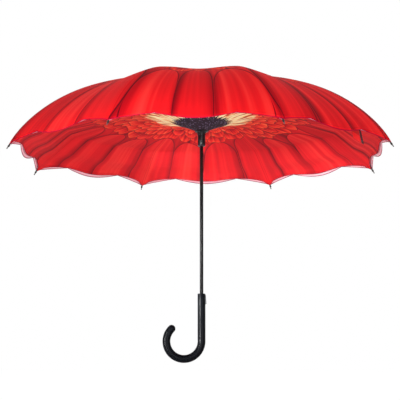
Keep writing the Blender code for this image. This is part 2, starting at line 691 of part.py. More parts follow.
def hung_band(name, finish, start, width, drop):
    """A band of fabric that hangs from the inner canopy in the plane of the last rib."""
    corners = [strap_point(start, 0), strap_point(start + width, 0)]
    corners += [strap_point(start + width, drop), strap_point(start, drop)]
    bm = bmesh.new()
    rings = []
    for side in (-0.5, 0.5):
        shift = Vector((0, side * STRAP_THICKNESS, 0))
        rings.append([bm.verts.new(corner + shift) for corner in corners])
    skin(bm, rings)
    bm.faces.new(rings[0])
    bm.faces.new(rings[-1])
    mesh = finished(bm, name)
    mesh.transform(Matrix.Rotation((RIB_COUNT - 0.5) * GORE_ANGLE, 4, "Z"))
    placed(name, mesh, finish)


def make_strap():
    """The tab, the narrow strap beside it and its stud, hung from the inner canopy at the last rib."""
    tab_start = STRAP_RADIUS - STRAP_THICKNESS - TAB_WIDTH
    hung_band("strap_tab", RED_FABRIC, tab_start, TAB_WIDTH, TAB_LENGTH)
    hung_band("closing_strap", MAROON_FABRIC, STRAP_RADIUS, STRAP_WIDTH, STRAP_LENGTH)
    middle = strap_point(STRAP_RADIUS + STRAP_WIDTH / 2, STRAP_LENGTH * SNAP_PLACE_SHARE)
    face = middle - Vector((0, STRAP_THICKNESS / 2 + CLEARANCE, 0))
    last = Matrix.Rotation((RIB_COUNT - 0.5) * GORE_ANGLE, 4, "Z")
    place = last @ Matrix.Translation(face) @ Matrix.Rotation(math.pi / 2, 4, "X")
    stud = [(0, 0), (SNAP_RADIUS, 0), (SNAP_RADIUS, SNAP_THICKNESS), (0, SNAP_THICKNESS)]
    placed("strap_snap", turned("strap_snap", stud, EYE_SIDES), STEEL, place)


make_shaft()
make_crown()
make_ribs(make_runner())
make_handle()
make_button()
canopy("outer_canopy", RED_FABRIC, SHAFT_BORE, outer_rise, CANOPY_RADIUS, 0)
canopy("inner_canopy", PINK_FABRIC, NECK_RADIUS + CLEARANCE, inner_rise, INNER_TIP_RADIUS, INNER_HEM_TRIM)
make_strap()
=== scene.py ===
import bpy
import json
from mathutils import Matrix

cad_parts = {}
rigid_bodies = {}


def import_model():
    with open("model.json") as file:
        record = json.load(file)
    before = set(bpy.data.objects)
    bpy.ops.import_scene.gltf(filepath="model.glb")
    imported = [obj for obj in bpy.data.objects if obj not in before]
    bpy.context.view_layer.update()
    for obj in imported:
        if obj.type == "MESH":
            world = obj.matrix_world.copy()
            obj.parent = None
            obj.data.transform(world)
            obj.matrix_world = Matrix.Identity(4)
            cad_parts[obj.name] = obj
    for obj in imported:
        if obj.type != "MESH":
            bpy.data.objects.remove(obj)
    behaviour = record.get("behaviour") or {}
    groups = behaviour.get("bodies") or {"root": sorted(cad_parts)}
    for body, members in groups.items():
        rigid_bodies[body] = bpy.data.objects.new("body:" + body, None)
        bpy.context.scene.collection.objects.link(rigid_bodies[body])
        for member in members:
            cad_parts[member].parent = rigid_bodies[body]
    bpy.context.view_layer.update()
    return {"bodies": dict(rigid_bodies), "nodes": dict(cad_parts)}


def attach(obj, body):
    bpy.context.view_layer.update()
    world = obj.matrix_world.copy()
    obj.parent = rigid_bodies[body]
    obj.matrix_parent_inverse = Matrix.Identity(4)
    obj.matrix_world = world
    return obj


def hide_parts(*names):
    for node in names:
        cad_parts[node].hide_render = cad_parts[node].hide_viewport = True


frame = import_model()

import json
import math

import bmesh
import bpy
from mathutils import Matrix, Vector

# The studio: a plain white floor and surround. Square lamps light the canopies from both sides, from low in
# front, from under the near rim and from above, and two narrow ones add to the grip and the far gores.
# The camera stands a little below the canopy's rim and looks slightly up at it.
CAMERA_AIM = 0.3178
CAMERA_DISTANCE = 3.134
CAMERA_TURN = math.radians(1.63)
CAMERA_TILT = math.radians(8.22)
LENS, SENSOR_WIDTH = 103.78, 36
CAMERA_SHIFT = -1.54 / 400
FLOOR_HEIGHT, FLOOR_RADIUS = -0.26, 30
FLOOR_GLOW, FLOOR_GLOW_SHARE = 1.2, 0.6
SURROUND_DIM = 0.76
WHITE = (1, 1, 1, 1)


def rgb(red, green, blue):
    """A colour as a screen shows it, from 0 to 255, as the light that it stands for."""
    shares = [channel / 255 for channel in (red, green, blue)]
    return tuple(s / 12.92 if s <= 0.04045 else ((s + 0.055) / 1.055) ** 2.4 for s in shares) + (1,)


class Wire:
    """A socket of a node tree. Sums on it add Math nodes, and node() adds any other node."""

    def __init__(self, tree, socket=None):
        self.tree, self.socket = tree, socket

    def node(self, kind, settings={}, inputs={}, output=0):
        made = self.tree.nodes.new("ShaderNode" + kind)
        for name, value in settings.items():
            if name == "stops":
                for i, (place, colour) in enumerate(value):
                    ramp = made.color_ramp.elements
                    stop = ramp[i] if i < 2 else ramp.new(place)
                    stop.position, stop.color = place, colour
            else:
                setattr(made, name, value)
        for name, value in inputs.items():
            if isinstance(value, Wire):
                self.tree.links.new(value.socket, made.inputs[name])
            else:
                made.inputs[name].default_value = value
        return Wire(self.tree, made.outputs[output] if made.outputs else None)

    def out(self, name):
        return Wire(self.tree, self.socket.node.outputs[name])

    def math(self, operation, *others):
        return self.node("Math", {"operation": operation}, dict(enumerate((self, *others))))

    def __add__(self, other):
        return self.math("ADD", other)

    def __sub__(self, other):
        return self.math("SUBTRACT", other)

    def __rsub__(self, other):
        return self.node("Math", {"operation": "SUBTRACT"}, {0: other, 1: self})

    def __mul__(self, other):
        return self.math("MULTIPLY", other)

    def __truediv__(self, other):
        return self.math("DIVIDE", other)

    def __pow__(self, other):
        return self.math("POWER", other)

    def __abs__(self):
        return self.math("ABSOLUTE")

    __radd__, __rmul__ = __add__, __mul__

    def fade(self, low, high, start=0.0, end=1.0):
        """A smooth step from start to end as the value goes from low to high."""
        ends = {"From Min": low, "From Max": high, "To Min": start, "To Max": end}
        return self.node("MapRange", {"interpolation_type": "SMOOTHSTEP"}, {"Value": self, **ends})

    def mix(self, first, second):
        """The first colour where the value is 0 and the second where it is 1."""
        return self.node("Mix", {"data_type": "RGBA"}, {0: self, 6: first, 7: second}, 2)

    def ramp(self, *stops):
        return self.node("ValToRGB", {"stops": stops}, {0: self})


def new_material(name):
    """An empty material and the start of its node tree."""
    material = bpy.data.materials.new(name)
    material.use_nodes = True
    material.node_tree.nodes.clear()
    return material, Wire(material.node_tree)


def add_lamp(name, place, target, size, power, spread=180):
    """A square area lamp aimed at a point, with its beam's width in degrees."""
    lamp = bpy.data.objects.new(name, bpy.data.lights.new(name, "AREA"))
    lamp.data.size, lamp.data.energy, lamp.data.spread = size, power, math.radians(spread)
    lamp.location = place
    lamp.rotation_mode = "QUATERNION"
    lamp.rotation_quaternion = (Vector(target) - Vector(place)).to_track_quat("-Z", "Y")
    scene.collection.objects.link(lamp)


scene = bpy.context.scene
scene.view_settings.view_transform = "Standard"

aim = Vector((0, 0, CAMERA_AIM))
level = math.cos(CAMERA_TILT)
back = Vector((math.sin(CAMERA_TURN) * level, -math.cos(CAMERA_TURN) * level, -math.sin(CAMERA_TILT)))
camera = bpy.data.objects.new("camera", bpy.data.cameras.new("camera"))
camera.data.lens, camera.data.sensor_width = LENS, SENSOR_WIDTH
camera.data.shift_x = CAMERA_SHIFT
camera.location = aim + back * CAMERA_DISTANCE
camera.rotation_mode = "QUATERNION"
camera.rotation_quaternion = (-back).to_track_quat("-Z", "Y")
scene.collection.objects.link(camera)
scene.camera = camera

world = bpy.data.worlds.new("surround")
world.use_nodes = True
world.node_tree.nodes.clear()
sky = Wire(world.node_tree)
path = sky.node("LightPath")
seen = path.math("MAXIMUM", path.out("Is Glossy Ray")).math("MAXIMUM", path.out("Is Transmission Ray"))
surround = sky.node("Background", {}, {"Color": WHITE, "Strength": seen.fade(0, 1, SURROUND_DIM, 1.0)})
sky.node("OutputWorld", {}, {"Surface": surround})
scene.world = world

floor_material, wire = new_material("floor_white")
grain = wire.node("TexNoise", {}, {"Vector": wire.node("TexCoord").out("Object"), "Scale": 40.0}, "Fac")
paper_white = grain.mix(rgb(240, 240, 240), rgb(246, 246, 246))
paper = wire.node("BsdfPrincipled", {}, {"Base Color": paper_white, "Roughness": 0.9})
glow = wire.node("Emission", {}, {"Color": WHITE, "Strength": FLOOR_GLOW})
path = wire.node("LightPath")
glowing = path.math("MAXIMUM", path.out("Is Glossy Ray")) * FLOOR_GLOW_SHARE
shown = wire.node("MixShader", {}, {0: glowing, 1: paper, 2: glow})
wire.node("OutputMaterial", {}, {"Surface": shown})
bm = bmesh.new()
bmesh.ops.create_circle(bm, cap_ends=True, segments=64, radius=FLOOR_RADIUS)
bmesh.ops.translate(bm, verts=bm.verts, vec=(0, 0, FLOOR_HEIGHT))
floor_mesh = bpy.data.meshes.new("floor")
bm.to_mesh(floor_mesh)
bm.free()
floor_mesh.materials.append(floor_material)
floor = bpy.data.objects.new("floor", floor_mesh)
scene.collection.objects.link(floor)

add_lamp("left_lamp", (-2.1, -2.2, 0.5), (0, 0, 0.35), 0.7, 11)
add_lamp("right_lamp", (2.2, -2.1, 0.3), (0, 0, 0.35), 0.7, 10)
add_lamp("low_lamp", (0.75, -2.75, -0.1), (0, 0.2, 0.45), 0.9, 29)
add_lamp("grip_lamp", (-2.1, -2.2, 0.15), (0, 0, 0.12), 0.3, 3.4, 14)
add_lamp("far_lamp", (-0.2, -2.8, -0.1), (-0.03, 0.45, 0.49), 0.2, 0.32, 9)
add_lamp("rise_lamp", (0, -0.9, -0.22), (0, 0.15, 0.5), 1.2, 12)
add_lamp("top_lamp", (-0.6, -0.8, 3.0), (0, 0, 0.5), 2.2, 7)

# Shaft: a drawn steel tube with a black stoved enamel, plain from the handle to the top cap.
# The runner polishes faint lines along it, so its gloss varies along the length.
SHAFT_RADIUS, SHAFT_BORE_RADIUS = 0.00475, 0.004
TIP_PLANE, CANOPY_RISE = 0.4354, 0.2177
APEX = TIP_PLANE + CANOPY_RISE
SHAFT_FOOT, SHAFT_TOP = 0.0195, APEX + 0.0105
SHARP_ANGLE = math.radians(38)


def turned(profile, steps=64):
    """A closed shape turned about the shaft, from the (radius, height) corners round its section."""
    bm = bmesh.new()
    corners = [bm.verts.new((radius, 0, height)) for radius, height in profile]
    edges = [bm.edges.new(pair) for pair in zip(corners, corners[1:])]
    if profile[0][0] > 0:
        edges.append(bm.edges.new((corners[-1], corners[0])))
    turn = {"axis": (0, 0, 1), "angle": math.tau, "steps": steps, "use_merge": True, "use_duplicate": False}
    bmesh.ops.spin(bm, geom=corners + edges, cent=(0, 0, 0), **turn)
    bmesh.ops.remove_doubles(bm, verts=bm.verts, dist=1e-7)
    bmesh.ops.recalc_face_normals(bm, faces=bm.faces)
    return bm


def soften(bm, width, angle=30, segments=3):
    """Rounds every edge sharper than an angle."""
    edges = [e for e in bm.edges if len(e.link_faces) == 2 and e.calc_face_angle() > math.radians(angle)]
    cut = {"affect": "EDGES", "segments": segments, "profile": 0.5, "material": -1, "clamp_overlap": True}
    bmesh.ops.bevel(bm, geom=edges, offset=width, **cut)


def piece(bm, name, finish, body, slot, *replaced):
    """A finished piece on its body, in place of the plain ones."""
    mesh = bpy.data.meshes.new(name)
    bm.to_mesh(mesh)
    bm.free()
    mesh.shade_smooth()
    mesh.set_sharp_from_angle(angle=SHARP_ANGLE)
    mesh.materials.append(finish)
    made = bpy.data.objects.new(name, mesh)
    scene.collection.objects.link(made)
    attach(made, body)
    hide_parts(*replaced)
    return made


def enamel(name, colour, shine, streak=(90, 90, 4)):
    """Black enamel on steel: a slight orange peel, and rubbed lines along the piece."""
    material, wire = new_material(name)
    place = wire.node("TexCoord").out("Object")
    rubbed = wire.node("Mapping", {}, {"Vector": place, "Scale": streak})
    lines = wire.node("TexNoise", {}, {"Vector": rubbed, "Scale": 12.0, "Detail": 4.0}, "Fac")
    peel = wire.node("TexNoise", {}, {"Vector": place, "Scale": 900.0, "Detail": 2.0}, "Fac")
    worn = lines.fade(0.6, 0.8)
    lighter = tuple(channel * 1.6 + 0.001 for channel in colour[:3]) + (1,)
    bump = wire.node("Bump", {}, {"Strength": 0.25, "Distance": 0.00003, "Height": peel + lines * 0.6})
    gloss = lines.fade(0.3, 0.7, shine, shine + 0.14)
    coat = {"Base Color": worn.mix(colour, lighter), "Roughness": gloss}
    shader = wire.node("BsdfPrincipled", {}, {**coat, "Specular IOR Level": 0.05, "Normal": bump})
    wire.node("OutputMaterial", {}, {"Surface": shader})
    return material


shaft_enamel = enamel("shaft_enamel", rgb(6, 5, 6), 0.26)
outside = [(SHAFT_RADIUS, SHAFT_FOOT), (SHAFT_RADIUS, SHAFT_TOP)]
bm = turned([(SHAFT_BORE_RADIUS, SHAFT_FOOT), *outside, (SHAFT_BORE_RADIUS, SHAFT_TOP)], 48)
soften(bm, 0.0002)
piece(bm, "shaft", shaft_enamel, "shaft", "steel_black", "shaft_tube")

# Crown: the moulded nylon hub under the outer canopy, slotted for eight stretchers, with a steel wire
# through their eyes. A washer and a rounded cap clamp the canopy on it from above.
CAP_BORE_RADIUS = 0.00515
WASHER_RADIUS, WASHER_LOW, WASHER_HIGH = 0.0115, APEX + 0.0004, APEX + 0.0016
CAP_RADIUS, CAP_FLAT = 0.0078, 0.0035
CAP_FOOT, CAP_TOP = APEX + 0.002, APEX + 0.0135
CAP_SIDE, CAP_CEILING = CAP_FOOT + 0.0066, CAP_TOP - 0.0026
CAP_DOME_START, CAP_DOME_RISE, CAP_FULLNESS = CAP_FOOT + 0.0068, 0.0047, 0.45


def moulded(name, colour, roughness, shine=0.35):
    """Moulded plastic: a fine even spark texture, slightly uneven gloss and a touch of dust in it."""
    material, wire = new_material(name)
    place = wire.node("TexCoord").out("Object")
    cloud = wire.node("TexNoise", {}, {"Vector": place, "Scale": 55.0, "Detail": 3.0}, "Fac")
    spark = wire.node("TexNoise", {}, {"Vector": place, "Scale": 2600.0, "Detail": 2.0}, "Fac")
    lighter = tuple(channel * 1.5 + 0.002 for channel in colour[:3]) + (1,)
    bump = wire.node("Bump", {}, {"Strength": 0.3, "Distance": 0.00003, "Height": spark})
    gloss = cloud.fade(0.3, 0.7, roughness - 0.05, roughness + 0.07)
    body = {"Base Color": cloud.fade(0.35, 0.7).mix(colour, lighter), "Roughness": gloss}
    shader = wire.node("BsdfPrincipled", {}, {**body, "Specular IOR Level": shine, "Normal": bump})
    wire.node("OutputMaterial", {}, {"Surface": shader})
    return material


def bare_steel(name, colour, roughness):
    """Bright steel with drawing lines and a slight tarnish."""
    material, wire = new_material(name)
    place = wire.node("TexCoord").out("Object")
    tarnish = wire.node("TexNoise", {}, {"Vector": place, "Scale": 160.0, "Detail": 4.0}, "Fac")
    darker = tuple(channel * 0.6 for channel in colour[:3]) + (1,)
    bump = wire.node("Bump", {}, {"Strength": 0.2, "Distance": 0.00003, "Height": tarnish})
    gloss = tarnish.fade(0.3, 0.7, roughness, roughness + 0.15)
    metal = {"Base Color": tarnish.fade(0.4, 0.75).mix(colour, darker), "Roughness": gloss}
    shader = wire.node("BsdfPrincipled", {}, {**metal, "Metallic": 1.0, "Normal": bump})
    wire.node("OutputMaterial", {}, {"Surface": shader})
    return material


def dress(material, *names):
    """Gives carried-over pieces their finish."""
    for name in names:
        frame["nodes"][name].data.materials.clear()
        frame["nodes"][name].data.materials.append(material)


hub_nylon = moulded("hub_nylon", rgb(26, 26, 29), 0.45)
gloss_black = moulded("gloss_black", rgb(12, 13, 16), 0.22, 0.5)
bright_steel = bare_steel("bright_steel", rgb(176, 178, 184), 0.28)
dress(hub_nylon, "crown", "runner_hub", "upper_stop", "handle_bushing")
dress(bright_steel, "crown_wire", "runner_wire", "button_spring")

rim = [(WASHER_RADIUS, WASHER_LOW), (WASHER_RADIUS, WASHER_HIGH)]
bm = turned([(CAP_BORE_RADIUS, WASHER_LOW), *rim, (CAP_BORE_RADIUS, WASHER_HIGH)])
soften(bm, 0.0004)
piece(bm, "washer", gloss_black, "shaft", "plastic_black", "crown_washer")

dome = [
    (CAP_RADIUS * math.cos(angle) ** CAP_FULLNESS, CAP_DOME_START + CAP_DOME_RISE * math.sin(angle))
    for angle in (0.35, 0.7, 1.0, 1.25)
]
inside = [(0, CAP_CEILING), (CAP_BORE_RADIUS, CAP_CEILING), (CAP_BORE_RADIUS, CAP_FOOT)]
side = [(CAP_RADIUS, CAP_FOOT), (CAP_RADIUS, CAP_SIDE)]
bm = turned([*inside, *side, *dome, (CAP_FLAT, CAP_TOP), (0, CAP_TOP)])
soften(bm, 0.0003, 50)
piece(bm, "shaft_cap", gloss_black, "shaft", "plastic_black", "top_cap")

# Ribs: each has a black steel stretcher down from the crown, a black steel inner rib up from the runner and
# a springy fibre rod out to the tip, riveted at the elbow. A turned cap with a pin and a bead ends each rod.
RIBS = range(1, 9)
rib_enamel = enamel("rib_enamel", rgb(20, 20, 23), 0.36, (30, 30, 30))
fibre, wire = new_material("rib_fibre")
place = wire.node("TexCoord").out("Object")
strands = wire.node("TexNoise", {}, {"Vector": place, "Scale": 700.0, "Detail": 5.0}, "Fac")
bump = wire.node("Bump", {}, {"Strength": 0.3, "Distance": 0.00003, "Height": strands})
black = strands.fade(0.35, 0.7).mix(rgb(16, 16, 18), rgb(44, 43, 46))
gloss = strands.fade(0.3, 0.7, 0.3, 0.5)
shader = wire.node("BsdfPrincipled", {}, {"Base Color": black, "Roughness": gloss, "Normal": bump})
wire.node("OutputMaterial", {}, {"Surface": shader})
for n in RIBS:
    dress(rib_enamel, f"stretcher_{n}", f"inner_rib_{n}")
    dress(fibre, f"outer_rib_{n}")
    dress(bright_steel, f"rivet_{n}")

# Canopies: two sheets of printed pongee, each sewn from eight gores with a scalloped hem. The outer one is
# clamped at the crown and the inner one at the runner, and both are tied to the tips. The print is on the
# outer face of the upper sheet and the lower face of the lower one, and their other faces are pale.
GORES = 8
GORE = math.tau / GORES
CANOPY_RADIUS = 0.53
ELBOW_RADIUS = 0.2735
DOME_OVERRUN, DOME_POWER, DOME_ROUNDNESS = 0.0021, 2.76, 0.795
ROD_DROP, ROD_GAIN, ROD_BEND = 0.008, 0.0038, 0.4941
CLAMP_RISE, CREST_RISE, KNEE_RISE = 0.0748, 0.1216, 0.0896
CREST, KNEE, KNEE_BEND = 0.2243, 0.4018, 0.02
HUB_RADIUS = 0.018
LOWER_INSET, LOWER_DROP = 0.004, 0.002
LOWER_REACH = CANOPY_RADIUS - LOWER_INSET
CLOTH = 0.0004
COLUMNS, ROWS, CROWDING = 24, 52, 1.15
BACK_SLOT, HEM_SLOT = 1, 2
NOTCH, PETAL_DEPTH, HEM_POWER = 0.0106, 0.0088, 0.9
HEM_START, PULL_START, PULL_GAP = 0.4582, 0.455, 0.0092
SAG = 0.0264
HUB_HOLD, HUB_FREE, ELBOW_BLEND = 0.016, 0.06, 0.02
UPPER_HOLE, LOWER_HOLE, LOWER_TRIM = 0.0052, 0.0089, 0.0052
UV_SCALE = 10


def dome_share(x):
    """Height of the dome's full curve as a share, at a distance along a rib. It would end beyond the tips."""
    return (1 - (min(x, CANOPY_RADIUS) / (CANOPY_RADIUS + DOME_OVERRUN)) ** DOME_POWER) ** DOME_ROUNDNESS


def dome_height(x):
    """Height of the upper sheet over the tips, at a distance along a rib."""
    edge = dome_share(CANOPY_RADIUS)
    return CANOPY_RISE * (dome_share(x) - edge) / (1 - edge)


def rod_height(x):
    """Height of a rod's middle line under the upper sheet."""
    return dome_height(x) - ROD_DROP + ROD_GAIN * (x - ELBOW_RADIUS) / (CANOPY_RADIUS - ELBOW_RADIUS)


rod_fall = rod_height(CANOPY_RADIUS) - rod_height(ROD_BEND)
rod_end = Vector((CANOPY_RADIUS - ROD_BEND, 0, rod_fall)).normalized()
LOWER_TIP_RISE = rod_height(CANOPY_RADIUS) - (LOWER_INSET * rod_end.z + LOWER_DROP) / rod_end.x


def smooth(value, low, high):
    """A smooth step from 0 to 1 as the value goes from low to high."""
    share = min(max((value - low) / (high - low), 0), 1)
    return share * share * (3 - 2 * share)


def funnel_height(x):
    """Height of the lower sheet: up from the runner to a crest, slowly down to a knee, then to the tips."""
    if x <= CREST:
        return CREST_RISE - (CREST_RISE - CLAMP_RISE) * min((CREST - x) / (CREST - HUB_RADIUS), 1) ** 2
    gentle = CREST_RISE - (CREST_RISE - KNEE_RISE) * ((x - CREST) / (KNEE - CREST)) ** 1.2
    steep = KNEE_RISE - (KNEE_RISE - LOWER_TIP_RISE) * (max(x - KNEE, 0) / (LOWER_REACH - KNEE)) ** 1.1
    return gentle + (steep - gentle) * smooth(x, KNEE - KNEE_BEND, KNEE + KNEE_BEND)


def hem_depth(share, trim):
    """How far the hem stands in from the tips' circle, across a gore. trim cuts it shorter between tips."""
    edge = min(share, 1 - share)
    if edge <= 0.25:
        scallop = NOTCH * (edge / 0.25) ** HEM_POWER
    else:
        scallop = NOTCH - PETAL_DEPTH * max(math.sin(math.pi * (edge - 0.25) * 2), 0) ** HEM_POWER
    return scallop + trim * min(edge / 0.04, 1) * (1 - 0.5 * max(1 - abs(edge - 0.25) / 0.1, 0))


def sheet_place(x, share, height, reach, trim):
    """A point of a sheet in the first gore, flat from rib to rib and round at the middle. The trimmed sheet's
    hem is pulled up towards the other sheet between the tips."""
    edge = min(max((x - HEM_START) / (reach - HEM_START), 0), 1)
    x -= hem_depth(share, trim) * edge
    flat = math.cos(GORE / 2) / math.cos((share - 0.5) * GORE)
    blend = min(max(x / HUB_RADIUS - 1, 0), 1)
    sag = SAG * math.sin(math.pi * share) ** 2 * (x / reach) * (1 - x / reach) * blend
    rise = height(x)
    if trim:
        pull = smooth(x, PULL_START, reach) * min(max((min(share, 1 - share) - 0.004) / 0.05, 0), 1)
        rise += (dome_height(x) - PULL_GAP - rise) * pull
    return x * (1 + blend * (flat - 1)), (0.5 + share) * GORE, TIP_PLANE + rise - sag


def sheet_weights(x, share, gore, centre, arm):
    """How far a point of the sheet goes with each body: the hub at the middle, then the ribs beside it."""
    weights = {centre: 1 - smooth(x, HUB_HOLD, HUB_FREE)}
    for side, near in ((gore, 1 - share), (gore + 1, share)):
        rib = side % GORES + 1
        rest = (1 - weights[centre]) * near
        beyond = smooth(x, ELBOW_RADIUS - ELBOW_BLEND, ELBOW_RADIUS + ELBOW_BLEND)
        weights[f"{arm}_{rib}"] = rest * (1 - beyond)
        weights[f"outer_rib_{rib}"] = rest * beyond
    return {body: weight for body, weight in weights.items() if weight > 1e-4}


def follow_bodies(cloth, names):
    """Lets a sheet bend with the bodies that its vertex groups are named for."""
    rig = bpy.data.objects.new(cloth.name + "_rig", bpy.data.armatures.new(cloth.name + "_rig"))
    scene.collection.objects.link(rig)
    bpy.context.view_layer.objects.active = rig
    bpy.ops.object.mode_set(mode="EDIT")
    for name in names:
        bone = rig.data.edit_bones.new(name)
        bone.head, bone.tail = (0, 0, 0), (0, 0.1, 0)
    bpy.ops.object.mode_set(mode="OBJECT")
    for name in names:
        rig.pose.bones[name].constraints.new("COPY_TRANSFORMS").target = frame["bodies"][name]
    bend = cloth.modifiers.new("ribs", "ARMATURE")
    bend.object = rig
    rig.hide_render = True


def sew_sheet(name, height, hole, reach, trim, centre, arm, materials, replaced):
    """One canopy: a gore from a grid, repeated round the shaft and sewn along the ribs."""
    bm = bmesh.new()
    bmesh.ops.create_grid(bm, x_segments=COLUMNS, y_segments=ROWS, size=0.5)
    places = {}
    for vert in bm.verts:
        share, along = 0.5 - vert.co.x, vert.co.y + 0.5
        places[vert.index] = hole + (reach - hole) * (1 - (1 - along) ** CROWDING), share
    joined = bmesh.new()
    plan, hem = (joined.loops.layers.uv.new(key) for key in ("plan", "hem"))
    deform = joined.verts.layers.deform.verify()
    names = [centre] + [f"{part}_{n}" for n in RIBS for part in (arm, "outer_rib")]
    for gore in range(GORES):
        made = {}
        for vert in bm.verts:
            x, share = places[vert.index]
            radius, angle, z = sheet_place(x, share, height, reach, trim)
            angle += gore * GORE
            made[vert.index] = joined.verts.new((radius * math.cos(angle), radius * math.sin(angle), z))
            for body, weight in sheet_weights(x, share, gore, centre, arm).items():
                made[vert.index][deform][names.index(body)] = weight
        for face in bm.faces:
            copy = joined.faces.new([made[vert.index] for vert in face.verts])
            for loop, vert in zip(copy.loops, face.verts):
                x, share = places[vert.index]
                loop[plan].uv = loop.vert.co.xy / (2 * CANOPY_RADIUS) + Vector((0.5, 0.5))
                loop[hem].uv = share * x * GORE * UV_SCALE, (reach - x) * UV_SCALE
    bm.free()
    bmesh.ops.remove_doubles(joined, verts=joined.verts, dist=1e-6)
    joined.normal_update()
    mesh = bpy.data.meshes.new(name)
    joined.to_mesh(mesh)
    joined.free()
    mesh.shade_smooth()
    for material in materials:
        mesh.materials.append(material)
    cloth = bpy.data.objects.new(name, mesh)
    scene.collection.objects.link(cloth)
    for body in names:
        cloth.vertex_groups.new(name=body)
    follow_bodies(cloth, names)
    thick = cloth.modifiers.new("thickness", "SOLIDIFY")
    thick.thickness, thick.offset = CLOTH, -1
    thick.material_offset, thick.material_offset_rim = BACK_SLOT, HEM_SLOT
    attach(cloth, "shaft")
    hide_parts(replaced)
    return cloth


PETALS = 24
DISC, CREAM = 0.15, 0.28
FLORET_ROWS = (0.53, 0.045, 33), (0.46, 0.045, 37), (0.4, 0.04, 35), (0.345, 0.035, 33), (0.29, 0.03, 31)
MAROON = rgb(84, 8, 20)
PETAL_REDS = (
    (0.0, rgb(130, 6, 18)), (0.3, rgb(184, 10, 22)), (0.58, rgb(224, 24, 30)), (1.0, rgb(252, 72, 62)),
)
FLORET_REDS = (
    (0.0, rgb(150, 10, 18)), (0.35, rgb(222, 26, 26)), (0.7, rgb(248, 62, 40)), (1.0, rgb(252, 124, 74)),
)
STAMENS = (
    (0.0, rgb(150, 30, 26)), (0.25, rgb(226, 84, 50)), (0.42, rgb(252, 196, 120)), (0.66, rgb(255, 240, 190)),
)
DISC_DARK, DISC_LIGHT = rgb(26, 20, 32), rgb(140, 124, 158)
EDGING = rgb(158, 6, 44)


def flower(wire, start):
    """The print, in shares of the canopy's radius: a stippled disc, a cream ring of stamens, rows of short
    florets and a ring of long petals over a second ring behind. start turns it round the shaft."""
    plan = wire.node("SeparateXYZ", {}, {0: wire.node("UVMap", {"uv_map": "plan"})})
    x, y = (plan.out("X") - 0.5) * 2, (plan.out("Y") - 0.5) * 2
    radius = ((x * x + y * y) ** 0.5).math("MAXIMUM", 0.001)
    turn = y.math("ARCTAN2", x) / math.tau + start
    compass_x, compass_y = x / radius, y / radius

    def noise(around, along, detail=1.0, shift=0.0):
        """Noise that runs seamlessly round the flower."""
        place = {0: compass_x * around, 1: compass_y * around, 2: radius * along + shift}
        spot = wire.node("CombineXYZ", {}, place)
        return wire.node("TexNoise", {}, {"Vector": spot, "Scale": 1.0, "Detail": detail}, "Fac")

    def petals(count, start, middle, half):
        """A ring of overlapping ovals: how deep inside its own oval a point is, and its tone."""
        place = turn * count + (noise(2.5, 0.5, 1.0, start) - 0.5) * 0.8 + start
        number = place.math("FLOOR")
        across = place - number
        off = abs(across - 0.5) * 2
        cell = {"W": number.math("FLOORED_MODULO", count) + start}
        chance = wire.node("TexWhiteNoise", {"noise_dimensions": "1D"}, cell)
        along = abs((radius - middle - (chance - 0.5) * 0.06) / half)
        width = (1.0 - along * along * along).math("MAXIMUM", 0.0001) ** 0.5
        depth = (width * (0.94 + chance * 0.1) - off) * radius * (math.pi / count)
        tone = 0.56 + (noise(18.0, 0.7, 1.0, start) - 0.5) * 0.75
        tone = tone + (noise(64.0, 1.2, 1.0, start) - 0.5) * 0.2
        tone = tone + (chance - 0.5) * 0.2 - off.fade(0.6, 1.0, 0.0, 0.14) - across.fade(0.0, 0.25, 0.22, 0.0)
        return depth, tone

    front, front_tone = petals(PETALS, 0.0, 0.83, 0.27)
    rear, rear_tone = petals(PETALS, 0.45, 0.87, 0.36)
    under = front.fade(-0.018, 0.0, 0.0, 0.2)
    colour = (rear_tone - 0.13 - under).ramp(*PETAL_REDS)
    colour = abs(rear).fade(0.0004, 0.003, 0.7, 0.0).mix(colour, MAROON)
    colour = front.fade(-0.001, 0.001).mix(colour, front_tone.ramp(*PETAL_REDS))
    colour = abs(front).fade(0.0008, 0.0038, 0.95, 0.0).mix(colour, MAROON)

    for i, (reach, depth, count) in enumerate(FLORET_ROWS):
        side = (turn * count + (noise(6.0 + i, 2.0, 1.0, 3.0 * i) - 0.5) * 1.6 + 0.37 * i).math("FRACT")
        off = abs(side - 0.5) * 2
        edge = reach + (1 - off * off) * depth + (noise(9.0, 2.0, 2.0, 7.0 * i) - 0.5) * depth * 2.2 - radius
        tone = 0.45 + (noise(46.0, 4.0, 2.0, 2.0 * i) - 0.5) * 1.6
        tone = tone - edge.fade(0.0, 0.09, -0.15, 0.35) + i * 0.05
        inside = edge.fade(-0.001, 0.001)
        colour = inside.mix(colour, tone.ramp(*FLORET_REDS))
        outline = abs(edge).fade(0.0006, 0.0042, 0.9, 0.0)
        seam = off.fade(0.86, 0.98, 0.0, 0.85) * inside
        colour = outline.math("MAXIMUM", seam).mix(colour, MAROON)

    ring = (CREAM + (noise(24.0, 5.0, 3.0, 1.0) - 0.5) * 0.11 - radius).fade(-0.004, 0.004)
    depth = (radius - DISC) / (CREAM - DISC)
    fibres = 0.66 + (noise(19.0, 12.0, 2.0, 9.0) - 0.5) * 3.4 - depth * 0.25
    colour = ring.mix(colour, fibres.ramp(*STAMENS))
    middle = (DISC + (noise(22.0, 14.0, 3.0, 4.0) - 0.5) * 0.13 - radius).fade(-0.002, 0.002)
    layer = wire.node("UVMap", {"uv_map": "plan"})
    spots = wire.node("TexVoronoi", {}, {"Vector": layer, "Scale": 210.0}, "Distance")
    florets = spots.fade(0.1, 0.4, 1.0, 0.0) * noise(16.0, 30.0, 2.0).fade(0.35, 0.6)
    return middle.mix(colour, florets.mix(DISC_DARK, DISC_LIGHT)), radius, turn


